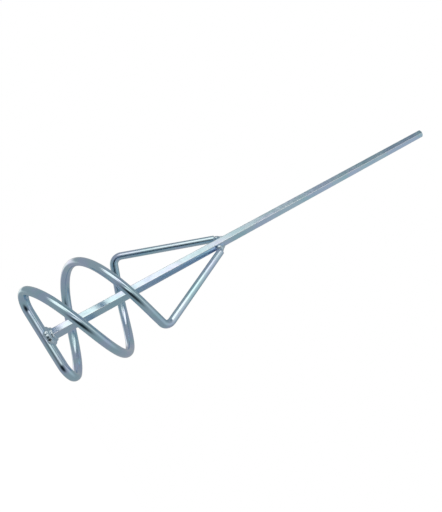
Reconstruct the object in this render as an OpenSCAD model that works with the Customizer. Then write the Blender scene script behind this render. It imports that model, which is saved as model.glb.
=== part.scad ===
// Mortar mixing paddle: a hex drive shaft with one round rod wound round it into a two-start stirrer.
// The shaft's axis is the Z axis, its shank points up, and z = 0 is the end face of the shank.
// The rod is one length. Its middle is the cross bar under the shaft. Each half bends out of it into
// a right-handed winding that widens upwards, leaves the winding on a straight run, and turns back
// to the shaft as an arm. Halves A and B start at opposite ends of the cross bar.

/* [Shaft] */
// Overall length, from the underside of the cross bar to the end of the shank
total_length = 500; // [420:5:700]
// Width of the hex bar across its flats
hex_flats = 10; // [8:0.5:12]
// Turn of the hex bar about its own axis, with a corner along +X at 0
hex_turn = 32; // [0:1:60]
// Chamfer round the end of the shank
shank_chamfer = 0.8; // [0.2:0.1:1.5]

/* [Stirrer rod] */
// Diameter of the round rod
rod_d = 7.5; // [6:0.5:9]
// Winding radius at the cross bar, to the middle of the rod
foot_radius = 43.5; // [38:0.5:48]
// Winding radius at the top, to the middle of the rod
top_radius = 48; // [42:0.5:55]
// Rise of a winding from the cross bar to its top
rise = 73.5; // [65:0.5:100]
// Turn of winding A
turn_a = 284; // [270:1:320]
// Turn of winding B
turn_b = 302; // [270:1:320]
// Straight run from the top of winding A to its corner
run_a = 30.5; // [14:0.5:34]
// Straight run from the top of winding B to its corner
run_b = 22.5; // [14:0.5:34]
// Bend radius between the cross bar and a winding, to the middle of the rod
foot_bend = 18; // [8:0.5:22]
// Bend radius at the corner below an arm, to the middle of the rod
corner_bend = 8; // [7:0.5:10]
// Height of the cut end of arm A above the cross bar
arm_height_a = 169; // [150:1:220]
// Height of the cut end of arm B above the cross bar
arm_height_b = 164; // [150:1:220]

/* [Welds] */
// Diameter of a weld bead
bead_d = 5.6; // [4:0.2:7]
// Drops of weld metal in one bead
bead_drops = 6; // [4:1:9]

/* [Hidden] */
rod_r = rod_d / 2;
hex_corner_r = hex_flats / sqrt(3);
bead_r = bead_d / 2;
// An arm's cut end stands just clear of the hex bar's corners, and its bead bridges the gap
arm_end_r = hex_corner_r + rod_r;
// Corners of the rod's outline, and how finely its bends and windings are stepped
rod_sides = 16;
bend_steps = 8;
winding_step = 5;
// Length of a Bezier handle that draws a quarter circle, as a share of its radius
quarter_handle = 0.5523;
// How far a bead reaches each way round the shaft's foot, and round an arm's cut end
foot_sweep = 58;
end_sweep = 105;
// A foot bead's middle line stands off the bars' surfaces, and sags between its two ends
bead_off = 0.5;
bead_sag = 1;
// An arm bead's middle line, as shares of the bead's and the rod's radius
arm_bead_off = 0.45;
arm_bead_half_width = 0.85;
arm_bead_half_height = 0.75;
// Every second drop is a little smaller
small_drop = 0.9;

function unit(v) = v / norm(v);
function reversed(list) = [for (i = [len(list) - 1 : -1 : 0]) list[i]];

// The rod's middle line is a list of [point, direction] pairs, walked outwards from the cross bar.

// A winding at t from 0 at the cross bar to 1 at its top
function winding_r(t) = foot_radius + (top_radius - foot_radius) * t;
function winding_point(t, turn) = [
    winding_r(t) * cos(turn * t),
    winding_r(t) * sin(turn * t),
    rise * t
];
function winding_dir(t, turn) = let (
    widen = top_radius - foot_radius,
    sweep = turn * PI / 180 * winding_r(t)
) unit([
    widen * cos(turn * t) - sweep * sin(turn * t),
    widen * sin(turn * t) + sweep * cos(turn * t),
    rise
]);

// The bend from the cross bar, which runs along +X, into the winding at t
function foot_line(t, turn) = let (
    a = [foot_radius - foot_bend, 0, 0],
    d = winding_point(t, turn),
    handle = quarter_handle * foot_bend,
    b = a + [handle, 0, 0],
    c = d - winding_dir(t, turn) * handle
) [
    for (i = [0 : bend_steps - 1])
    let (u = i / bend_steps, v = 1 - u)
    [
        v * v * v * a + 3 * v * v * u * b + 3 * v * u * u * c + u * u * u * d,
        unit(v * v * (b - a) + 2 * v * u * (c - b) + u * u * (d - c))
    ]
];

// A true arc round a corner point, between the straight directions into and out of it
function corner_line(corner, into, out) = let (
    angle = acos(into * out),
    side = unit(out - into * (into * out)),
    centre = corner - into * corner_bend * tan(angle / 2) + side * corner_bend
) [
    for (i = [0 : bend_steps])
    let (a = angle * i / bend_steps)
    [
        centre - side * corner_bend * cos(a) + into * corner_bend * sin(a),
        into * cos(a) + side * sin(a)
    ]
];

function corner_point(turn, run) = winding_point(1, turn) + winding_dir(1, turn) * run;
// The cut end of an arm, straight inwards from its corner to beside the shaft
function arm_end(turn, run, height) = let (
    corner = corner_point(turn, run),
    inwards = unit([corner.x, corner.y, 0]) * arm_end_r
) [inwards.x, inwards.y, height];
function arm_dir(turn, run, height) = unit(arm_end(turn, run, height) - corner_point(turn, run));

// Middle line of one half of the rod, from the cross bar to the cut end of its arm
function half_line(turn, run, height) = let (
    start = foot_bend / (foot_radius * turn * PI / 180),
    steps = ceil(turn * (1 - start) / winding_step),
    out = arm_dir(turn, run, height)
) concat(
    foot_line(start, turn),
    [
        for (i = [0 : steps])
        let (t = start + (1 - start) * i / steps)
        [winding_point(t, turn), winding_dir(t, turn)]
    ],
    corner_line(corner_point(turn, run), winding_dir(1, turn), out),
    [[arm_end(turn, run, height), out]]
);

// Normals carried along a line without twist, from straight up at the cross bar
function carried(line) = [
    for (
        i = 0, n = [0, 0, 1];
        i < len(line);
        i = i + 1,
        n = i < len(line) ? unit(n - line[i][1] * (n * line[i][1])) : n
    )
    n
];

// One ring of the rod's surface at a point, square to the direction dir
function ring(point, dir, normal) = [
    for (k = [0 : rod_sides - 1])
    let (a = 360 * k / rod_sides)
    point + rod_r * (normal * cos(a) + cross(dir, normal) * sin(a))
];

// Rings of one half, ordered outwards. way is 1 for half A, and -1 for half B, which the rod
// passes through the other way
function half_rings(line, way) = let (normals = carried(line)) [
    for (i = [0 : len(line) - 1])
    ring(line[i][0], way * line[i][1], normals[i])
];

function half_turned(line) = [
    for (s = line)
    [[-s[0].x, -s[0].y, s[0].z], [-s[1].x, -s[1].y, s[1].z]]
];

// A closed tube through a list of rings
module tube(rings) {
    last = len(rings) - 1;
    sides = [
        for (i = [0 : last - 1], k = [0 : rod_sides - 1])
        let (
            a = i * rod_sides + k,
            b = i * rod_sides + (k + 1) % rod_sides
        )
        each [[a, b + rod_sides, b], [a, a + rod_sides, b + rod_sides]]
    ];
    first_cap = [for (k = [0 : rod_sides - 1]) k];
    last_cap = [for (k = [rod_sides - 1 : -1 : 0]) last * rod_sides + k];
    polyhedron(
        points = [for (r = rings) each r],
        faces = concat(sides, [first_cap, last_cap]),
        convexity = 10
    );
}

// Everything is drawn from the middle of the cross bar up, then hung below the end of the shank
module hung() {
    translate([0, 0, rod_r - total_length]) children();
}

module hex_bar() {
    length = total_length - rod_d;
    translate([0, 0, rod_r]) rotate(hex_turn) intersection() {
        cylinder(h = length, r = hex_corner_r, $fn = 6);
        union() {
            cylinder(h = length - shank_chamfer, r = hex_flats);
            translate([0, 0, length - shank_chamfer]) {
                cylinder(h = shank_chamfer, r1 = hex_corner_r, r2 = hex_corner_r - shank_chamfer);
            }
        }
    }
}

// A straight length of the rod, as long as a bead needs for its cut
module straight_rod(length) {
    cylinder(h = length, r = rod_r);
}

function drop_r(i) = i % 2 == 0 ? bead_r * small_drop : bead_r;

// The bead on one side of the foot of the shaft, where side is 1 for +Y and -1 for -Y
module foot_bead(side) {
    difference() {
        for (i = [0 : bead_drops - 1]) {
            a = 90 - foot_sweep + 2 * foot_sweep * i / (bead_drops - 1);
            translate([
                (hex_corner_r + bead_off) * cos(a),
                side * (rod_r + bead_off) * sin(a),
                rod_r - bead_off - bead_sag * sin(a)
            ]) sphere(drop_r(i));
        }
        hex_bar();
        translate([-hex_flats * 2, 0, 0]) rotate([0, 90, 0]) straight_rod(hex_flats * 4);
    }
}

// The bead over the cut end of an arm, on the side towards the shank
module arm_bead(turn, run, height) {
    end = arm_end(turn, run, height);
    dir = arm_dir(turn, run, height);
    azimuth = atan2(end.y, end.x);
    slope = atan2(norm([dir.x, dir.y]), dir.z);
    difference() {
        translate([0, 0, height]) rotate(azimuth) {
            for (i = [0 : bead_drops - 1]) {
                a = end_sweep * (2 * i / (bead_drops - 1) - 1);
                translate([
                    hex_flats / 2 + bead_r * arm_bead_off,
                    rod_r * arm_bead_half_width * sin(a),
                    rod_r * arm_bead_half_height * cos(a)
                ]) sphere(drop_r(i));
            }
        }
        hex_bar();
        translate(end) rotate(azimuth) rotate([0, 180 - slope, 0]) straight_rod(rod_d * 3);
    }
}

// The drive shaft: a plain hex bar with a chamfered end, which the drill chuck holds
module hex_shaft() {
    color("silver") hung() hex_bar();
}

// The whole rod, from the cut end of arm B through the cross bar to the cut end of arm A
module stirrer_rod() {
    line_a = half_line(turn_a, run_a, arm_height_a);
    line_b = half_turned(half_line(turn_b, run_b, arm_height_b));
    color("lightsteelblue") hung() {
        tube(concat(reversed(half_rings(line_b, -1)), half_rings(line_a, 1)));
    }
}

module foot_weld_front() {
    color("slategray") hung() foot_bead(1);
}

module foot_weld_back() {
    color("slategray") hung() foot_bead(-1);
}

module arm_weld_a() {
    color("dimgray") hung() arm_bead(turn_a, run_a, arm_height_a);
}

module arm_weld_b() {
    color("dimgray") hung() rotate(180) arm_bead(turn_b, run_b, arm_height_b);
}

hex_shaft();
stirrer_rod();
foot_weld_front();
foot_weld_back();
arm_weld_a();
arm_weld_b();
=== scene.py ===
"""Mortar mixing paddle: the hex shaft, the wound rod and the four welds, in plated steel.

The frame is the CAD model's: +Z runs up the shaft, and z = 0 is the end face of the shank. Lengths are
in metres. The bars are rebuilt here at a fine resolution from the same design values as the CAD
model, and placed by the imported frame's boxes. The welds are fuller than the CAD model's plain beads.
"""
import math
import random

import bmesh
import bpy
from mathutils import Matrix, Vector, noise


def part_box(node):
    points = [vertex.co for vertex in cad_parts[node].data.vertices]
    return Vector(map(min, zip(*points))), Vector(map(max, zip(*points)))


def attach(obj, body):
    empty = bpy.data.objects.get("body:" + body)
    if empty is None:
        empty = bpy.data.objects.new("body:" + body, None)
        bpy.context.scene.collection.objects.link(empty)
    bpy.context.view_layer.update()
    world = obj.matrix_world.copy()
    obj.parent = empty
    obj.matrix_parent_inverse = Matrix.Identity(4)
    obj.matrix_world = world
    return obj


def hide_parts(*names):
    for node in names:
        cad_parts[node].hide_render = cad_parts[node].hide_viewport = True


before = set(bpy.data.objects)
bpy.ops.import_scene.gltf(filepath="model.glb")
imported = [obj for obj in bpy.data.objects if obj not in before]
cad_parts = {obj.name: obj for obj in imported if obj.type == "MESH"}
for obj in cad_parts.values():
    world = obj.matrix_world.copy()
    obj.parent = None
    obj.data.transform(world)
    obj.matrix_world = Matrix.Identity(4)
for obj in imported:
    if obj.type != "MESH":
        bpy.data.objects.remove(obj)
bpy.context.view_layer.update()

MM = 0.001

# ---------------------------------------------------------------- sizes, as in the CAD model
shaft_low, shaft_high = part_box("hex_shaft")
rod_low, rod_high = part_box("stirrer_rod")
TOTAL_LENGTH = shaft_high.z - rod_low.z
ROD_R = (shaft_low.z - rod_low.z) / 2
HEX_FLATS = 10 * MM
HEX_TURN = math.radians(32)
SHANK_CHAMFER = 0.8 * MM
FOOT_RADIUS = 43.5 * MM
TOP_RADIUS = 48 * MM
RISE = 73.5 * MM
FOOT_BEND = 18 * MM
CORNER_BEND = 8 * MM
QUARTER_HANDLE = 0.5523
HEX_CORNER_R = HEX_FLATS / math.sqrt(3)
ARM_END_R = HEX_CORNER_R + ROD_R
BEAD_OFF = 0.5 * MM
CROSS_BAR_Z = rod_low.z + ROD_R
# Each half of the rod: turn of its winding, its straight run, and the height of its arm's cut end
HALF_A = dict(turn=math.radians(284), run=30.5 * MM, height=169 * MM, way=1)
HALF_B = dict(turn=math.radians(302), run=22.5 * MM, height=164 * MM, way=-1)

# ---------------------------------------------------------------- sizes the CAD model leaves out
# Rounding of the hex bar's corners, how far below the shank's chamfer the rings get closer, and the
# height of the break round the shaft's foot
HEX_ROUNDING = 0.55 * MM
CHAMFER_LEAD = 0.9 * MM
FOOT_BREAK = 0.4 * MM
# How far a weld's heat dulls the plating
HEAT_REACH = 16 * MM
# How far a bead reaches each way, in degrees, and the drops that it is melted from
FOOT_SWEEP = 80
END_SWEEP = 80
FOOT_DROPS = 12
END_DROPS = 9
TOE_ROWS = 6

random.seed(7)


# ---------------------------------------------------------------- the rod's middle line
def winding(half, t):
    """Point and direction on a winding, at t from 0 at the cross bar to 1 at its top."""
    a = half["turn"] * t
    r = FOOT_RADIUS + (TOP_RADIUS - FOOT_RADIUS) * t
    out = Vector((math.cos(a), math.sin(a), 0))
    round_ = Vector((-math.sin(a), math.cos(a), 0))
    point = out * r + Vector((0, 0, RISE * t))
    along = out * (TOP_RADIUS - FOOT_RADIUS) + round_ * (half["turn"] * r) + Vector((0, 0, RISE))
    return point, along.normalized()


def corner_and_arm(half):
    """The corner point, the directions into and out of it, and the arm's cut end."""
    top, into = winding(half, 1)
    corner = top + into * half["run"]
    inwards = Vector((corner.x, corner.y, 0)).normalized() * ARM_END_R
    end = Vector((inwards.x, inwards.y, half["height"]))
    return corner, into, (end - corner).normalized(), end


def half_line(half, step):
    """Points of one half's middle line, from the middle of the cross bar out to the cut end."""
    points = [Vector((0, 0, 0))]

    def straight(to):
        start = points[-1].copy()
        count = max(1, round((to - start).length / step))
        points.extend(start.lerp(to, (i + 1) / count) for i in range(count))

    a = Vector((FOOT_RADIUS - FOOT_BEND, 0, 0))
    straight(a)
    start_t = FOOT_BEND / (FOOT_RADIUS * half["turn"])
    d, along = winding(half, start_t)
    b = a + Vector((QUARTER_HANDLE * FOOT_BEND, 0, 0))
    c = d - along * QUARTER_HANDLE * FOOT_BEND
    bend_steps = round(math.pi / 2 * FOOT_BEND / step) + 6
    for i in range(1, bend_steps + 1):
        u = i / bend_steps
        v = 1 - u
        points.append(a * v**3 + b * 3 * v * v * u + c * 3 * v * u * u + d * u**3)
    wound = round(TOP_RADIUS * half["turn"] / step)
    for i in range(1, wound + 1):
        points.append(winding(half, start_t + (1 - start_t) * i / wound)[0])
    corner, into, out, end = corner_and_arm(half)
    angle = into.angle(out)
    side = (out - into * into.dot(out)).normalized()
    reach = CORNER_BEND * math.tan(angle / 2)
    centre = corner - into * reach + side * CORNER_BEND
    straight(corner - into * reach)
    arc_steps = round(angle * CORNER_BEND / step) + 8
    for i in range(1, arc_steps + 1):
        a_i = angle * i / arc_steps
        points.append(centre - side * CORNER_BEND * math.cos(a_i) + into * CORNER_BEND * math.sin(a_i))
    straight(end)
    turn = Matrix.Rotation(0 if half["way"] == 1 else math.pi, 3, "Z")
    up = Vector((0, 0, CROSS_BAR_Z))
    return [turn @ p + up for p in points]


def arm_end(half):
    """The cut end of a half's arm, in the CAD frame."""
    end = corner_and_arm(half)[-1]
    turn = Matrix.Rotation(0 if half["way"] == 1 else math.pi, 3, "Z")
    return turn @ end + Vector((0, 0, CROSS_BAR_Z))


# ---------------------------------------------------------------- mesh helpers
def add_object(name, mesh, material, node):
    obj = bpy.data.objects.new(name, mesh)
    bpy.context.collection.objects.link(obj)
    mesh.materials.append(material)
    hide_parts(node)
    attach(obj, "root")
    return obj


def weld_shade(p, spots):
    """1 at a weld, falling to 0 over the zone that its heat reached."""
    near = min((p - spot).length for spot in spots)
    return max(0.0, 1 - near / HEAT_REACH) ** 1.5


def store(mesh, name, values):
    attribute = mesh.attributes.new(name, "FLOAT", "POINT")
    attribute.data.foreach_set("value", values)


def loft(name, rings, spots, edges, u_length, along):
    """A closed, smooth tube through rings of points, with both ends capped by flat faces. The uv map
    is in metres: u round the bar and v along it."""
    mesh = bpy.data.meshes.new(name)
    count = len(rings[0])
    verts = [p for ring in rings for p in ring]
    faces = []
    for i in range(len(rings) - 1):
        for k in range(count):
            a, b = i * count + k, i * count + (k + 1) % count
            faces.append((a, b, b + count, a + count))
    faces.append(tuple(reversed(range(count))))
    last = (len(rings) - 1) * count
    faces.append(tuple(last + k for k in range(count)))
    mesh.from_pydata(verts, [], faces)
    uv = mesh.uv_layers.new(name="bar")
    uvs = []
    for i in range(len(rings) - 1):
        for k in range(count):
            u0, u1 = k / count * u_length, (k + 1) / count * u_length
            uvs += [u0, along[i], u1, along[i], u1, along[i + 1], u0, along[i + 1]]
    for ring, back in ((rings[0], True), (rings[-1], False)):
        middle = sum(ring, Vector()) / count
        side = (ring[0] - middle).normalized()
        normal = (ring[0] - middle).cross(ring[count // 4] - middle).normalized()
        flat = [((p - middle).dot(side), (p - middle).dot(normal.cross(side))) for p in ring]
        for x, y in reversed(flat) if back else flat:
            uvs += [x, y]
    uv.data.foreach_set("uv", uvs)
    store(mesh, "heat", [weld_shade(v, spots) for v in verts])
    store(mesh, "edge", [e for ring in edges for e in ring])
    mesh.polygons.foreach_set("use_smooth", [True] * len(mesh.polygons))
    mesh.update()
    return mesh


def transported(points):
    """Directions along a line, and normals carried along it without twist from straight up."""
    last = len(points) - 1
    dirs = [(points[min(i + 1, last)] - points[max(i - 1, 0)]).normalized() for i in range(last + 1)]
    normal = Vector((0, 0, 1))
    normals = []
    for d in dirs:
        normal = (normal - d * normal.dot(d)).normalized()
        normals.append(normal.copy())
    return dirs, normals


# ---------------------------------------------------------------- shader helpers
class Nodes:
    """Short ways to add and join the nodes of one material."""

    def __init__(self, name):
        self.material = bpy.data.materials.new(name)
        self.material.use_nodes = True
        self.tree = self.material.node_tree
        self.shader = self.tree.nodes["Principled BSDF"]

    def add(self, kind, **values):
        node = self.tree.nodes.new("ShaderNode" + kind)
        for key, value in values.items():
            if key in node.inputs:
                node.inputs[key].default_value = value
            else:
                setattr(node, key, value)
        return node

    def join(self, a, b):
        self.tree.links.new(a, b)

    def scaled(self, vector, scale):
        node = self.add("Mapping")
        node.inputs["Scale"].default_value = scale
        self.join(vector, node.inputs["Vector"])
        return node.outputs["Vector"]

    def noise(self, vector, scale, detail=3.0, roughness=0.5):
        node = self.add("TexNoise", Scale=scale, Detail=detail, Roughness=roughness)
        self.join(vector, node.inputs["Vector"])
        return node.outputs["Fac"]

    def spread(self, value, low, high, to_low=0.0, to_high=1.0):
        node = self.add("MapRange")
        node.interpolation_type = "SMOOTHSTEP"
        for key, number in (("From Min", low), ("From Max", high), ("To Min", to_low), ("To Max", to_high)):
            node.inputs[key].default_value = number
        self.join(value, node.inputs["Value"])
        return node.outputs["Result"]

    def math(self, operation, a, b):
        node = self.add("Math")
        node.operation = operation
        for socket, value in zip(node.inputs, (a, b)):
            if isinstance(value, (int, float)):
                socket.default_value = value
            else:
                self.join(value, socket)
        return node.outputs["Value"]

    def mix(self, factor, a, b):
        node = self.add("Mix")
        node.data_type = "RGBA"
        self.join(factor, node.inputs["Factor"])
        for key, value in (("A", a), ("B", b)):
            socket = next(s for s in node.inputs if s.name == key and s.type == "RGBA")
            if isinstance(value, tuple):
                socket.default_value = (*value, 1)
            else:
                self.join(value, socket)
        return next(s for s in node.outputs if s.type == "RGBA")

    def bump(self, height, distance, normal=None):
        node = self.add("Bump", Strength=1.0, Distance=distance)
        self.join(height, node.inputs["Height"])
        if normal:
            self.join(normal, node.inputs["Normal"])
        return node.outputs["Normal"]


ZINC = (0.51, 0.69, 0.82)
ZINC_LILAC = (0.55, 0.61, 0.90)
ZINC_TEAL = (0.42, 0.66, 0.77)
ZINC_DULL = (0.38, 0.50, 0.58)
ZINC_BARE = (0.76, 0.82, 0.86)
# Painted shade: near black, for the hollows of the weld beads
PAINTED_PIT_SHADE = (0.03, 0.035, 0.04)


def zinc(name, roughness, drawn):
    """Blue-tinted zinc plating over steel bar. drawn is the depth of the lines along the bar."""
    n = Nodes(name)
    uv = n.add("UVMap", uv_map="bar").outputs["UV"]
    place = n.add("TexCoord").outputs["Object"]
    heat = n.add("Attribute", attribute_name="heat").outputs["Fac"]
    edge = n.add("Attribute", attribute_name="edge").outputs["Fac"]

    # Tint: broad lilac and teal patches, then a fine mottle
    broad = n.spread(n.noise(place, 28, 2), 0.35, 0.65)
    patch = n.spread(n.noise(n.scaled(place, (1, 1, 0.5)), 60, 2), 0.42, 0.62)
    colour = n.mix(broad, ZINC, ZINC_TEAL)
    colour = n.mix(n.math("MULTIPLY", patch, 0.5), colour, ZINC_LILAC)
    mottle = n.spread(n.noise(place, 420, 4, 0.65), 0.40, 0.72)
    colour = n.mix(n.math("MULTIPLY", mottle, 0.10), colour, ZINC_DULL)
    dull = n.math("MULTIPLY", heat, n.spread(n.noise(place, 300, 3), 0.25, 0.6, 0.35, 1.0))
    colour = n.mix(dull, colour, ZINC_DULL)
    colour = n.mix(n.math("MULTIPLY", edge, 0.7), colour, ZINC_BARE)
    n.join(colour, n.shader.inputs["Base Color"])
    n.shader.inputs["Metallic"].default_value = 1.0

    # Drawing lines run along the bar, so they are fine round it and long down it
    lines = n.noise(n.scaled(uv, (2600, 14, 1)), 1.0, 3, 0.6)
    wide_lines = n.noise(n.scaled(uv, (700, 6, 1)), 1.0, 2)
    stains = n.noise(place, 150, 3, 0.6)
    rough = n.math("MULTIPLY_ADD", lines, 0.10)
    rough.node.inputs[2].default_value = roughness - 0.08
    rough = n.math("ADD", rough, n.spread(stains, 0.35, 0.75, 0.0, 0.10))
    rough = n.math("ADD", rough, n.math("MULTIPLY", dull, 0.16))
    n.join(rough, n.shader.inputs["Roughness"])

    scratches = n.add("TexVoronoi", feature="DISTANCE_TO_EDGE", Scale=1.0)
    n.join(n.scaled(uv, (160, 30, 1)), scratches.inputs["Vector"])
    scratch = n.spread(scratches.outputs["Distance"], 0.0, 0.012, 0.0, 1.0)
    pits = n.spread(n.noise(place, 900, 2), 0.3, 0.55)
    normal = n.bump(lines, drawn)
    normal = n.bump(wide_lines, drawn * 2.0, normal)
    normal = n.bump(pits, 0.0003 * MM, normal)
    normal = n.bump(scratch, 0.0004 * MM, normal)
    n.join(normal, n.shader.inputs["Normal"])
    return n.material


def weld_metal(name):
    """Plated weld metal: paler than the bars in patches, with shade painted nearly black into its hollows."""
    n = Nodes(name)
    place = n.add("TexCoord").outputs["Object"]
    pit_shade = n.add("Attribute", attribute_name="edge").outputs["Fac"]
    mottle = n.spread(n.noise(place, 700, 4, 0.6), 0.35, 0.7)
    colour = n.mix(n.math("MULTIPLY", mottle, 0.4), ZINC, ZINC_BARE)
    # Painted shade: the hollows are coloured nearly black, where shade falls
    colour = n.mix(n.math("MULTIPLY", pit_shade, 0.95), colour, PAINTED_PIT_SHADE)
    n.join(colour, n.shader.inputs["Base Color"])
    n.shader.inputs["Metallic"].default_value = 1.0
    rough = n.spread(n.noise(place, 500, 3), 0.3, 0.7, 0.14, 0.32)
    rough = n.math("ADD", rough, n.math("MULTIPLY", pit_shade, 0.25))
    n.join(rough, n.shader.inputs["Roughness"])
    normal = n.bump(n.noise(place, 700, 3, 0.6), 0.012 * MM)
    n.join(normal, n.shader.inputs["Normal"])
    return n.material


# ---------------------------------------------------------------- camera
# Seen from beside the foot of the paddle, looking up along the shaft, with the cross bar on the left
CAMERA_AT = Vector((-19.7, 489.3, -498.6)) * MM
CAMERA_LOOK = Vector((-0.05036, -0.82953, 0.55618))
CAMERA_UP = Vector((0.86549, 0.24165, 0.43879))
FOCAL_SHARE = 0.95327
SHIFT = (-0.25462, -0.07414)

camera_data = bpy.data.cameras.new("camera")
camera_data.sensor_width = 36.0
camera_data.lens = camera_data.sensor_width * FOCAL_SHARE
camera_data.shift_x, camera_data.shift_y = SHIFT
camera_data.clip_start = 0.01
camera_data.clip_end = 20.0
camera = bpy.data.objects.new("camera", camera_data)
bpy.context.collection.objects.link(camera)
look = CAMERA_LOOK.normalized()
right = look.cross(CAMERA_UP).normalized()
camera.matrix_world = Matrix.Translation(CAMERA_AT) @ Matrix(
    (right, right.cross(look), -look)
).transposed().to_4x4()
bpy.context.scene.camera = camera


# ---------------------------------------------------------------- the shaft
def hex_radius(angle, rounding):
    """Distance from the axis to the hex outline at an angle, with its corners rounded off."""
    a = (angle - HEX_TURN + math.pi / 6) % (math.pi / 3) - math.pi / 6
    # a is 0 at a corner, and 30 degrees at the middle of a flat
    flat = HEX_FLATS / 2 / math.cos(math.pi / 6 - abs(a))
    centre = HEX_CORNER_R - rounding / math.cos(math.pi / 6)
    tangent_y = rounding * math.sin(math.pi / 6)
    tangent_x = centre + rounding * math.cos(math.pi / 6)
    if abs(a) < math.atan2(tangent_y, tangent_x):
        return centre * math.cos(a) + math.sqrt(rounding**2 - (centre * math.sin(a)) ** 2)
    return flat


def shaft_angles():
    """Angles round the shaft, close together at each corner of the hexagon."""
    angles = []
    for corner in range(6):
        middle = HEX_TURN + corner * math.pi / 3
        near = [-4.0, -2.6, -1.7, -0.9, 0.0, 0.9, 1.7, 2.6, 4.0]
        far = [8, 13, 18, 24, 30, 36, 42, 47, 52]
        angles += [middle + math.radians(a) for a in near + far]
    return angles


def shaft_mesh(spots):
    angles = shaft_angles()
    top, foot = shaft_high.z, shaft_low.z
    # (height, how far the outline is cut in there)
    stations = [(foot, 0.35 * MM), (foot + 0.12 * MM, 0.12 * MM), (foot + FOOT_BREAK, 0)]
    body_steps = 160
    body_top = top - SHANK_CHAMFER - CHAMFER_LEAD
    for i in range(1, body_steps + 1):
        stations.append((foot + FOOT_BREAK + (body_top - foot - FOOT_BREAK) * i / body_steps, 0))
    chamfer_steps = 14
    for i in range(1, chamfer_steps + 1):
        depth = (SHANK_CHAMFER + CHAMFER_LEAD) * i / chamfer_steps
        stations.append((body_top + depth, depth - CHAMFER_LEAD))
    rings, edges = [], []
    for z, cut in stations:
        ring, wear = [], []
        for a in angles:
            r = hex_radius(a, HEX_ROUNDING)
            off = abs((a - HEX_TURN + math.pi / 6) % (math.pi / 3) - math.pi / 6)
            if z > body_top and cut > 0:
                r = min(r, HEX_CORNER_R - cut)
            elif z < foot + FOOT_BREAK:
                r -= cut
            ring.append(Vector((r * math.cos(a), r * math.sin(a), z)))
            wear.append(max(0.0, 1 - off / math.radians(4.5)))
        rings.append(ring)
        edges.append(wear)
    along = [z - foot for z, _ in stations]
    return loft("hex_bar", rings, spots, edges, 6 * HEX_CORNER_R, along)


# ---------------------------------------------------------------- the rod
def rod_mesh(spots):
    sides, step = 40, 1.6 * MM
    outline = ([], [])
    for half in (HALF_A, HALF_B):
        points = half_line(half, step)
        dirs, normals = transported(points)
        rows = []
        for p, d, n in zip(points, dirs, normals):
            rows.append((p, d * half["way"], n, 0.0))
        # The cut end keeps a small burr-free break round its edge
        p, d, n, _ = rows.pop()
        rows.append((p - d * half["way"] * 0.35 * MM, d, n, 0.0))
        rows.append((p - d * half["way"] * 0.10 * MM, d, n, 0.10 * MM))
        rows.append((p, d, n, 0.35 * MM))
        outline[half["way"] < 0].extend(rows)
    rows = outline[1][::-1] + outline[0][1:]
    rings, edges, along, run = [], [], [], 0.0
    for i, (p, d, n, cut) in enumerate(rows):
        b = d.cross(n)
        r = ROD_R - cut
        rings.append([
            p + (n * math.cos(a) + b * math.sin(a)) * r
            for a in (2 * math.pi * k / sides for k in range(sides))
        ])
        edges.append([1.0 if cut > 0 else 0.0] * sides)
        run += (p - rows[i - 1][0]).length if i else 0.0
        along.append(run)
    return loft("wound_rod", rings, spots, edges, 2 * math.pi * ROD_R, along)


# ---------------------------------------------------------------- the welds
def drops_mesh(name, drops, voxel=0.22 * MM):
    """Melts a list of (point, radius) drops into one smooth bead."""
    bm = bmesh.new()
    for p, r in drops:
        made = bmesh.ops.create_icosphere(bm, subdivisions=3, radius=r)
        bmesh.ops.translate(bm, verts=made["verts"], vec=p)
    mesh = bpy.data.meshes.new(name)
    bm.to_mesh(mesh)
    bm.free()
    obj = bpy.data.objects.new(name, mesh)
    bpy.context.collection.objects.link(obj)
    remesh = obj.modifiers.new("melt", "REMESH")
    remesh.mode = "VOXEL"
    remesh.voxel_size = voxel
    smooth = obj.modifiers.new("settle", "SMOOTH")
    smooth.factor = 0.6
    smooth.iterations = 12
    melted = bpy.data.meshes.new_from_object(
        obj.evaluated_get(bpy.context.evaluated_depsgraph_get())
    )
    bpy.data.objects.remove(obj)
    bpy.data.meshes.remove(mesh)
    melted.name = name
    return melted


def finish_bead(mesh, hollows):
    """Ripples a bead's surface, sinks its hollows, each a (point, radius), and marks them with painted shade.
    """
    values = []
    normals = [v.normal.copy() for v in mesh.vertices]
    for v, normal in zip(mesh.vertices, normals):
        p = v.co.copy()
        lumps = noise.noise(p * 380) * 0.2 * MM + noise.noise(p * 900) * 0.07 * MM
        near = min(((p - h).length / r for h, r in hollows), default=9.0)
        pit = max(0.0, 1 - near) ** 0.7
        v.co = p + normal * (lumps - pit * 0.9 * MM)
        values.append(min(1.0, pit * 1.6))
    # The mask stored here is painted shade: the weld material darkens the hollows by it
    store(mesh, "edge", values)
    mesh.polygons.foreach_set("use_smooth", [True] * len(mesh.polygons))
    mesh.update()


def foot_bead(name, node, side, material):
    """The weld on one side of the shaft's foot: big uneven drops, and a row of small ones above."""
    drops = []
    for i in range(FOOT_DROPS):
        a = math.radians(90 - FOOT_SWEEP + 2 * FOOT_SWEEP * i / (FOOT_DROPS - 1))
        drops.append((Vector((
            (HEX_CORNER_R + BEAD_OFF) * math.cos(a) + random.uniform(-0.3, 0.3) * MM,
            side * (ROD_R + BEAD_OFF) * math.sin(a),
            CROSS_BAR_Z + ROD_R - BEAD_OFF - 1.0 * MM * math.sin(a) + random.uniform(-0.3, 0.3) * MM,
        )), random.uniform(2.1, 2.8) * MM))
        drops.append((Vector((
            (HEX_CORNER_R - 0.6 * MM) * math.cos(a),
            side * (HEX_FLATS / 2) * math.sin(a),
            CROSS_BAR_Z + ROD_R + random.uniform(1.6, 2.6) * MM,
        )), random.uniform(1.2, 1.7) * MM))
    mesh = drops_mesh(name, drops)
    # A hollow where the bead meets the bar, sunk and painted dark as shade
    pit = Vector((-0.55 * HEX_CORNER_R, side * (ROD_R + 2.2 * MM), CROSS_BAR_Z + 1.6 * MM))
    finish_bead(mesh, [(pit, 1.5 * MM)])
    return add_object(name, mesh, material, node)


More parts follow.
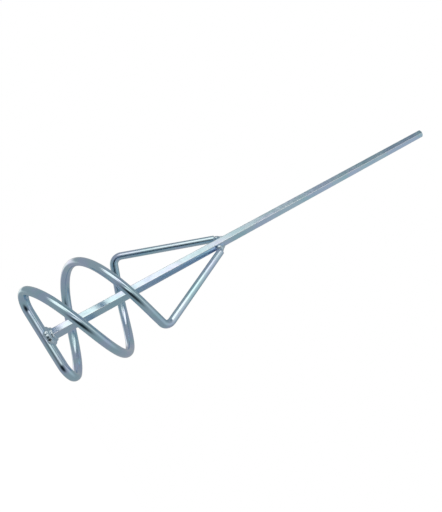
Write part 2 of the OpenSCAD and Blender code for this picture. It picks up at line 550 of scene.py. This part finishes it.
def arm_bead(name, node, half, material):
    """The weld over the cut end of an arm, with a toe that runs up the shaft past it."""
    end = arm_end(half)
    outwards = Vector((end.x, end.y, 0)).normalized()
    across = Vector((0, 0, 1)).cross(outwards)
    level = Vector((0, 0, end.z))
    drops = []
    for i in range(END_DROPS):
        a = math.radians(END_SWEEP * (2 * i / (END_DROPS - 1) - 1))
        drops.append((
            level + outwards * (HEX_FLATS / 2 + 1.25 * MM) + across * (ROD_R * 0.85 * math.sin(a))
            + Vector((0, 0, ROD_R * 0.75 * math.cos(a))), random.uniform(2.1, 2.7) * MM))
    for i in range(2 * TOE_ROWS):
        t = (i // 2) / (TOE_ROWS - 1)
        drops.append((
            level + outwards * (HEX_FLATS / 2 + (2.6 - 3.0 * t) * MM)
            + across * ((1.2 if i % 2 else -1.2) * MM + random.uniform(-0.3, 0.3) * MM)
            + Vector((0, 0, ROD_R * 0.6 + 5.2 * t * MM)), (2.2 - 0.9 * t) * MM))
    mesh = drops_mesh(name, drops)
    finish_bead(mesh, [])
    return add_object(name, mesh, material, node)


weld_spots = [Vector((0, 0, CROSS_BAR_Z + ROD_R)), arm_end(HALF_A), arm_end(HALF_B)]
bar_zinc = zinc("zinc_on_drawn_hex_bar", 0.22, 0.0004 * MM)
rod_zinc = zinc("zinc_on_round_bar", 0.15, 0.0003 * MM)
weld_zinc = weld_metal("zinc_on_weld_metal")
add_object("hex_bar", shaft_mesh(weld_spots), bar_zinc, "hex_shaft")
add_object("wound_rod", rod_mesh(weld_spots), rod_zinc, "stirrer_rod")
foot_bead("bead_foot_front", "foot_weld_front", 1, weld_zinc)
foot_bead("bead_foot_back", "foot_weld_back", -1, weld_zinc)
arm_bead("bead_arm_a", "arm_weld_a", HALF_A, weld_zinc)
arm_bead("bead_arm_b", "arm_weld_b", HALF_B, weld_zinc)


# ---------------------------------------------------------------- floor and light
FLOOR_DROP = 40 * MM
# The floor is lit up to the white of the backdrop where nothing shades it
FLOOR_GLOW = 0.62
HALF_FLOOR = 6.0
floor_mesh = bpy.data.meshes.new("floor")
floor_z = rod_low.z - FLOOR_DROP
floor_mesh.from_pydata(
    [(x * HALF_FLOOR, y * HALF_FLOOR, floor_z) for x, y in ((-1, -1), (1, -1), (1, 1), (-1, 1))],
    [], [(0, 1, 2, 3)],
)
floor = bpy.data.objects.new("floor", floor_mesh)
bpy.context.collection.objects.link(floor)
floor_look = Nodes("pale_floor")
floor_look.shader.inputs["Base Color"].default_value = (0.9, 0.9, 0.9, 1)
floor_look.shader.inputs["Roughness"].default_value = 0.8
floor_look.shader.inputs["Emission Color"].default_value = (1, 1, 1, 1)
floor_rays = floor_look.add("LightPath").outputs["Is Camera Ray"]
floor_glow = floor_look.math("MULTIPLY", floor_rays, FLOOR_GLOW)
floor_look.join(floor_glow, floor_look.shader.inputs["Emission Strength"])
floor_mesh.materials.append(floor_look.material)
# The metal doesn't see the floor, which would hide the dark opening below it
floor.visible_glossy = False

world = bpy.data.worlds.new("studio")
bpy.context.scene.world = world
world.use_nodes = True
tree = world.node_tree
background = tree.nodes["Background"]
generated = tree.nodes.new("ShaderNodeTexCoord").outputs["Generated"]
up_in_view = right.cross(look)


def in_view(degrees_right, degrees_up):
    """The direction so many degrees right of and above the way back to the camera."""
    tilt = math.radians(math.hypot(degrees_right, degrees_up))
    around = math.atan2(degrees_up, degrees_right)
    side = right * math.cos(around) + up_in_view * math.sin(around)
    return (side * math.sin(tilt) - look * math.cos(tilt)).normalized()


def world_math(operation, a, b):
    node = tree.nodes.new("ShaderNodeMath")
    node.operation = operation
    for socket, value in zip(node.inputs, (a, b)):
        if isinstance(value, (int, float)):
            socket.default_value = value
        else:
            tree.links.new(value, socket)
    return node.outputs["Value"]


def lean(direction):
    """The dot product of a reflected ray with a direction."""
    node = tree.nodes.new("ShaderNodeVectorMath")
    node.operation = "DOT_PRODUCT"
    tree.links.new(generated, node.inputs[0])
    node.inputs[1].default_value = direction
    return node.outputs["Value"]


def fade(value, low, high):
    node = tree.nodes.new("ShaderNodeMapRange")
    node.interpolation_type = "SMOOTHSTEP"
    for key, number in (("From Min", low), ("From Max", high), ("To Min", 0.0), ("To Max", 1.0)):
        node.inputs[key].default_value = number
    tree.links.new(value, node.inputs["Value"])
    return node.outputs["Result"]


def hang(light, start, end, half_width, soft, colour):
    """Hangs a soft panel between two directions in front of the light made so far."""
    middle = (start + end).normalized()
    is_long = (end - start).length > 0.01
    long_way = (end - start).normalized() if is_long else middle.orthogonal()
    short_way = middle.cross(long_way).normalized()
    half = math.sin(start.angle(end) / 2 + half_width) if is_long else math.sin(half_width)
    x = world_math("DIVIDE", lean(long_way), half)
    y = world_math("DIVIDE", lean(short_way), math.sin(half_width))
    r = world_math("SQRT", world_math("ADD", world_math("MULTIPLY", x, x), world_math("MULTIPLY", y, y)), 0)
    share = world_math("MULTIPLY", fade(r, 1 + soft, 1 - soft), world_math("GREATER_THAN", lean(middle), 0.0))
    node = tree.nodes.new("ShaderNodeMix")
    node.data_type = "RGBA"
    tree.links.new(share, node.inputs["Factor"])
    light_in, colour_in = [i for i in node.inputs if i.type == "RGBA"]
    if isinstance(light, tuple):
        light_in.default_value = (*light, 1)
    else:
        tree.links.new(light, light_in)
    colour_in.default_value = (*colour, 1)
    return next(o for o in node.outputs if o.type == "RGBA")


# What the metal reflects: a grey room with soft panels and one dark opening hung in it, the later ones
# in front. Each has its two ends in view degrees, its half width in degrees, how soft its edge is as a
# share of that width, and its light
ROOM = (0.42, 0.42, 0.42)
PANELS = [
    # A wide, weak one on the right
    ((97, -12), (97, -12), 26, 0.6, (0.60, 0.60, 0.60)),
    # A shaded part of the ceiling
    ((36, 92), (36, 92), 16, 0.6, (0.25, 0.29, 0.30)),
    # A long one falling to the right, and the bright one overhead
    ((46, 54), (82, 22), 13, 0.5, (0.92, 0.82, 0.75)),
    ((-10, 65), (44, 54), 10.5, 0.2, (1.95, 1.66, 1.46)),
    # Small ones above the camera and on the far left
    ((-12, 42), (4, 43), 13, 0.5, (1.75, 1.50, 1.32)),
    ((-125, 12), (-112, -6), 12, 0.5, (1.30, 1.15, 1.05)),
    # The dark opening below the camera, and a narrow panel at its upper right
    ((0, -24), (26, -12), 21, 0.55, (0.012, 0.022, 0.028)),
    ((18, 12), (40, 24), 7, 0.5, (1.30, 1.15, 1.05)),
]
light = ROOM
for start, end, half_width, soft, colour in PANELS:
    light = hang(light, in_view(*start), in_view(*end), math.radians(half_width), soft, colour)
rays = tree.nodes.new("ShaderNodeLightPath")
seen = tree.nodes.new("ShaderNodeMix")
seen.data_type = "RGBA"
tree.links.new(rays.outputs["Is Camera Ray"], seen.inputs["Factor"])
light_in, backdrop_in = [i for i in seen.inputs if i.type == "RGBA"]
tree.links.new(light, light_in)
backdrop_in.default_value = (1, 1, 1, 1)
tree.links.new(next(o for o in seen.outputs if o.type == "RGBA"), background.inputs["Color"])

bpy.context.scene.view_settings.view_transform = "Standard"
